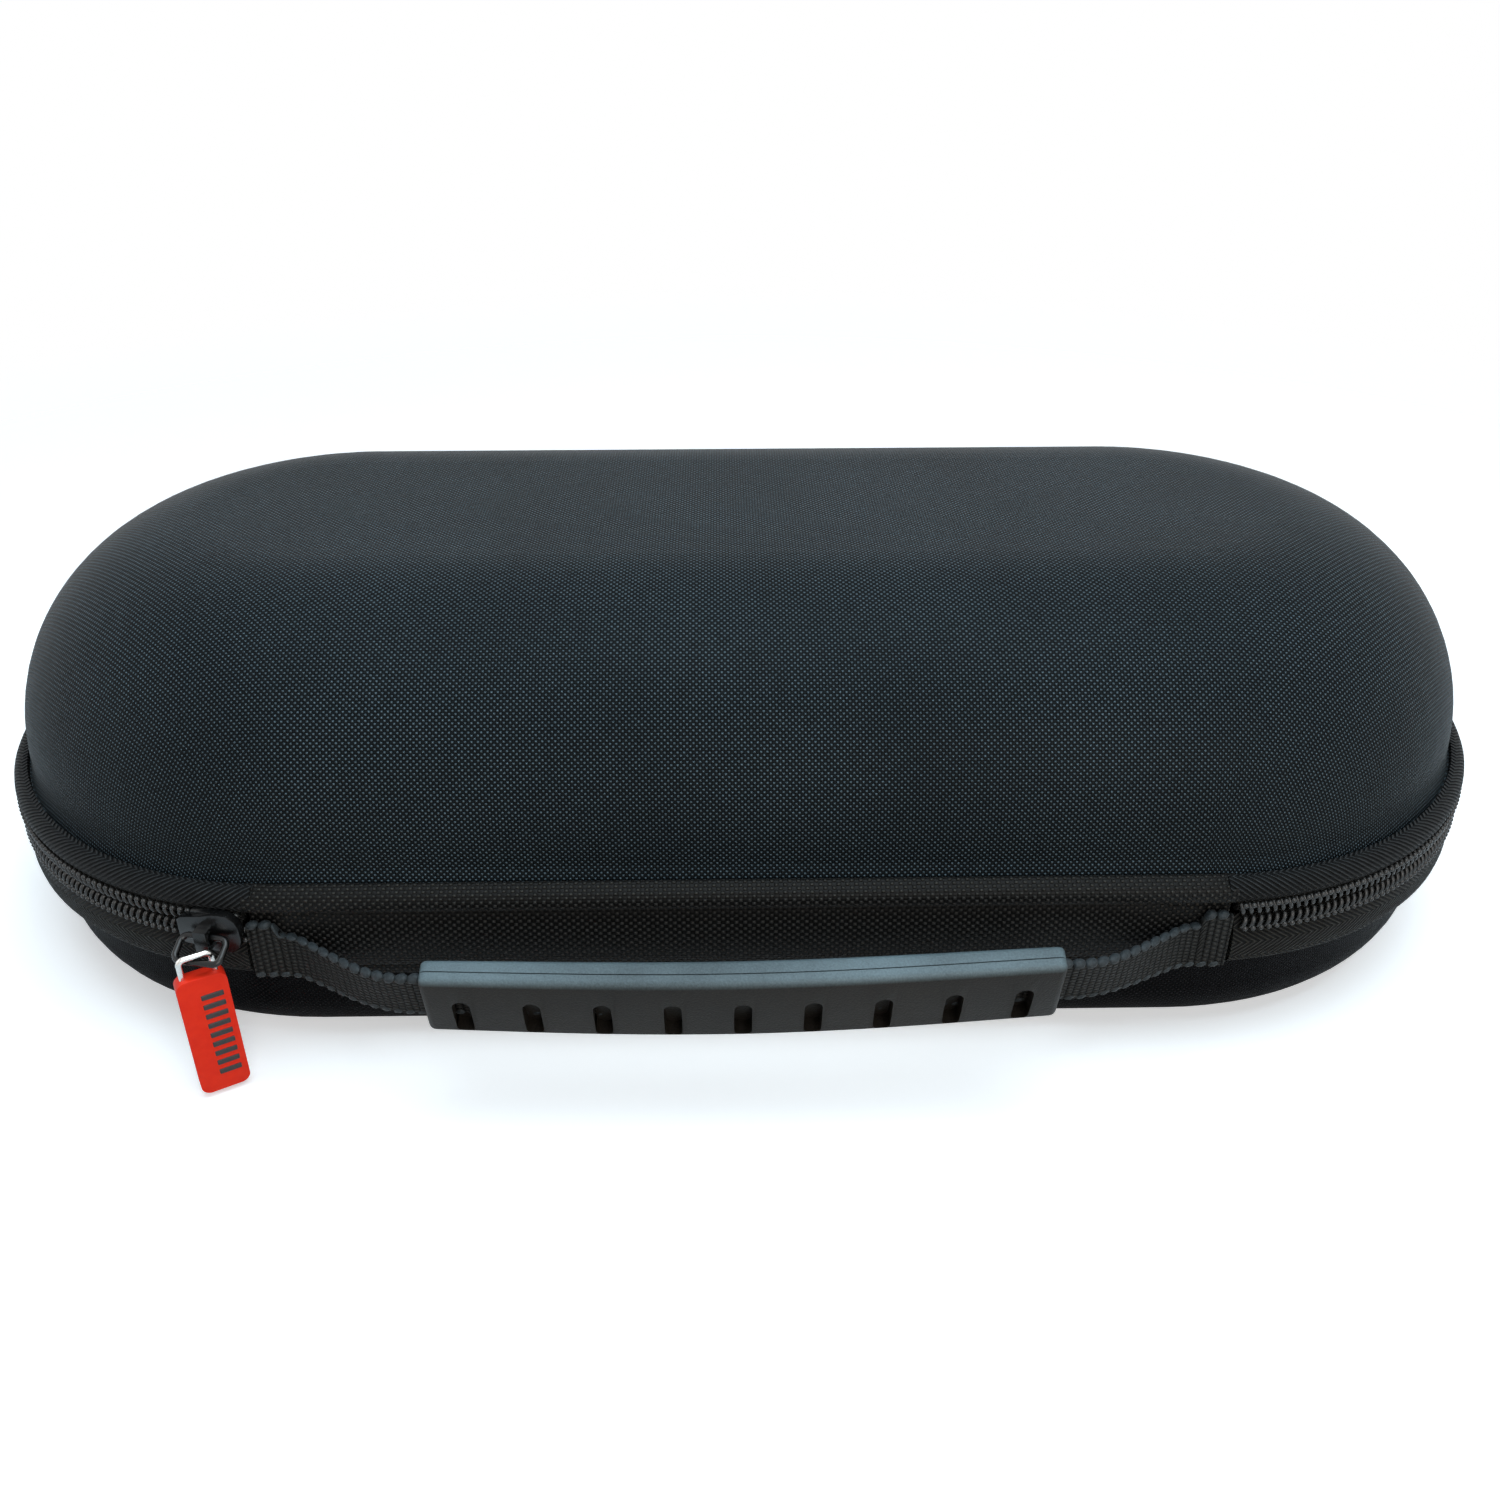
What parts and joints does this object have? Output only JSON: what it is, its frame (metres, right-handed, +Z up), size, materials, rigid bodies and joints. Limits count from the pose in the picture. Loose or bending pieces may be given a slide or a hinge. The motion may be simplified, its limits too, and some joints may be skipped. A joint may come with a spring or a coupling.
{
  "type": "controller carrying case",
  "caption": "Moulded cloth-faced hard case: coil zipper round three sides, cloth hinge along the front, soft-grip carry handle and red puller.",
  "frame": {"origin": "centre of the base's flat underside, on the surface the case stands on", "axes": "+X along the case's length, -Y towards the handle and hinge, +Z up through the lid"},
  "size_m": [0.3304, 0.1716, 0.09],
  "materials": {
    "moulded_cloth": "fine woven polyester over moulded foam, matt",
    "moulded_cloth_dark": "fine woven polyester over moulded foam, matt",
    "twill": "twill tape, matt",
    "tape": "herringbone zipper tape",
    "coil": "nylon coil, satin",
    "elastic": "ribbed elastic",
    "hook": "hook tape",
    "mesh": "knitted mesh",
    "hinge_cloth": "coarse basket weave",
    "webbing": "ribbed webbing",
    "grip_rubber": "matt soft rubber",
    "slider_metal": "gloss black",
    "steel_wire": "drawn wire",
    "red_rubber": "satin soft rubber"
  },
  "bodies": {
    "base": {"base_shell": "moulded_cloth_dark", "base_rim_binding": "twill", "lower_zipper_tape": "tape", "lower_zipper_coil": "coil", "left_strap": "elastic", "left_strap_patch": "hook", "right_strap": "elastic", "right_strap_patch": "hook"},
    "spine": {"hinge_panel": "hinge_cloth", "handle_webbing": "webbing", "handle_grip": "grip_rubber"},
    "lid": {"lid_shell": "moulded_cloth", "lid_rim_binding": "twill", "upper_zipper_tape": "tape", "upper_zipper_coil": "coil", "mesh_pocket": "mesh", "pocket_elastic": "elastic"},
    "slider": {"slider_body": "slider_metal"},
    "ring": {"pull_ring": "slider_metal"},
    "puller": {"wire_loop": "steel_wire", "rubber_puller": "red_rubber"}
  },
  "joints": [
    {"name": "spine_fold", "type": "hinge", "parent": "base", "child": "spine", "pos_m": [0, -0.0755, 0.0228], "axis": [1, 0, 0], "range_deg": [0, 46]},
    {"name": "lid_fold", "type": "hinge", "parent": "spine", "child": "lid", "pos_m": [0, -0.0755, 0.0382], "axis": [1, 0, 0], "range_deg": [0, 92], "deforming": ["upper_zipper_tape", "upper_zipper_coil"]},
    {"name": "slider_run", "type": "hinge", "parent": "base", "child": "slider", "pos_m": [-0.088, 0, 0.034], "axis": [0, 0, -1], "range_deg": [0, 163]},
    {"name": "ring_swing", "type": "hinge", "parent": "slider", "child": "ring", "pos_m": [-0.10334, -0.07892, 0.034], "axis": [-0.9816, 0.1907, 0], "range_deg": [0, 10]},
    {"name": "puller_swing", "type": "hinge", "parent": "ring", "child": "puller", "pos_m": [-0.10423, -0.08352, 0.03151], "axis": [-0.9816, 0.1907, 0], "range_deg": [0, 20]}
  ],
  "couplings": [
    {"joint": "spine_fold", "follows": "lid_fold", "ratio": 0.5}
  ]
}
